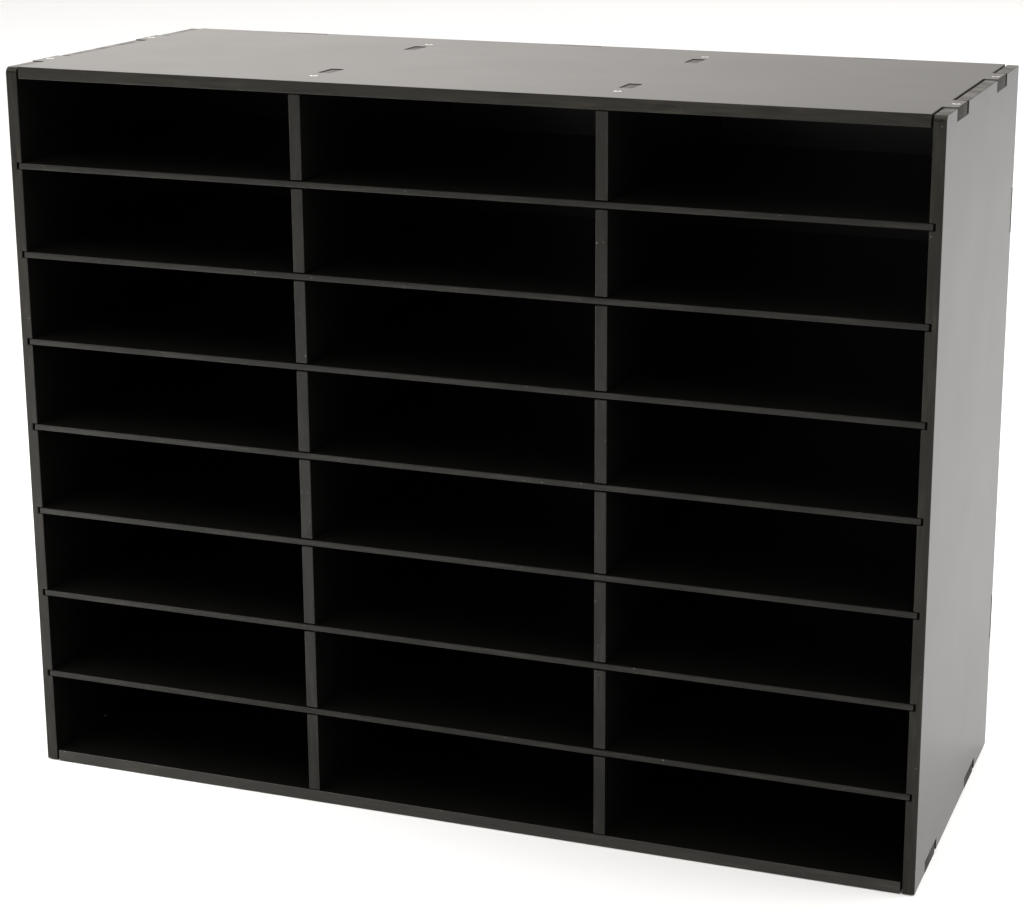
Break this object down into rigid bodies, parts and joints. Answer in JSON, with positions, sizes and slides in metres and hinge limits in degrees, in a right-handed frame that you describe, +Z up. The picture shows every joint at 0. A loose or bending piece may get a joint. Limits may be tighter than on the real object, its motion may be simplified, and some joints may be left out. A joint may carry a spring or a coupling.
{
  "type": "pigeonhole mail sorter",
  "caption": "Black open-front pigeonhole mail sorter: a screwed knock-down case of laminated board with slotted dividers and thin shelves that slide out forwards.",
  "frame": {"origin": "centre of the footprint, on the surface the case stands on", "axes": "+X to the right seen from the open front, +Y to the back panel, +Z up"},
  "size_m": [0.743, 0.298, 0.585],
  "materials": {
    "case_board": "satin black laminate on fibreboard",
    "shelf_board": "satin black laminate on thin fibreboard",
    "back_board": "satin black laminate on thin fibreboard",
    "screw": "bright zinc plate"
  },
  "bodies": {
    "case": {"left_side_panel": "case_board", "right_side_panel": "case_board", "top_panel": "case_board", "bottom_panel": "case_board", "left_divider": "case_board", "right_divider": "case_board", "back_panel": "back_board", "top_screw_1": "screw", "top_screw_2": "screw", "top_screw_3": "screw", "top_screw_4": "screw", "top_screw_5": "screw", "top_screw_6": "screw", "top_screw_7": "screw", "top_screw_8": "screw", "bottom_screw_1": "screw", "bottom_screw_2": "screw", "bottom_screw_3": "screw", "bottom_screw_4": "screw", "bottom_screw_5": "screw", "bottom_screw_6": "screw", "bottom_screw_7": "screw", "bottom_screw_8": "screw", "back_screw_1": "screw", "back_screw_2": "screw", "back_screw_3": "screw", "back_screw_4": "screw"},
    "shelf_1": {"shelf_1": "shelf_board"},
    "shelf_2": {"shelf_2": "shelf_board"},
    "shelf_3": {"shelf_3": "shelf_board"},
    "shelf_4": {"shelf_4": "shelf_board"},
    "shelf_5": {"shelf_5": "shelf_board"},
    "shelf_6": {"shelf_6": "shelf_board"},
    "shelf_7": {"shelf_7": "shelf_board"}
  },
  "joints": [
    {"name": "shelf_1_slide", "type": "slide", "parent": "case", "child": "shelf_1", "axis": [0, -1, 0], "range_m": [0, 0.29]},
    {"name": "shelf_2_slide", "type": "slide", "parent": "case", "child": "shelf_2", "axis": [0, -1, 0], "range_m": [0, 0.29]},
    {"name": "shelf_3_slide", "type": "slide", "parent": "case", "child": "shelf_3", "axis": [0, -1, 0], "range_m": [0, 0.29]},
    {"name": "shelf_4_slide", "type": "slide", "parent": "case", "child": "shelf_4", "axis": [0, -1, 0], "range_m": [0, 0.29]},
    {"name": "shelf_5_slide", "type": "slide", "parent": "case", "child": "shelf_5", "axis": [0, -1, 0], "range_m": [0, 0.29]},
    {"name": "shelf_6_slide", "type": "slide", "parent": "case", "child": "shelf_6", "axis": [0, -1, 0], "range_m": [0, 0.29]},
    {"name": "shelf_7_slide", "type": "slide", "parent": "case", "child": "shelf_7", "axis": [0, -1, 0], "range_m": [0, 0.29]}
  ]
}
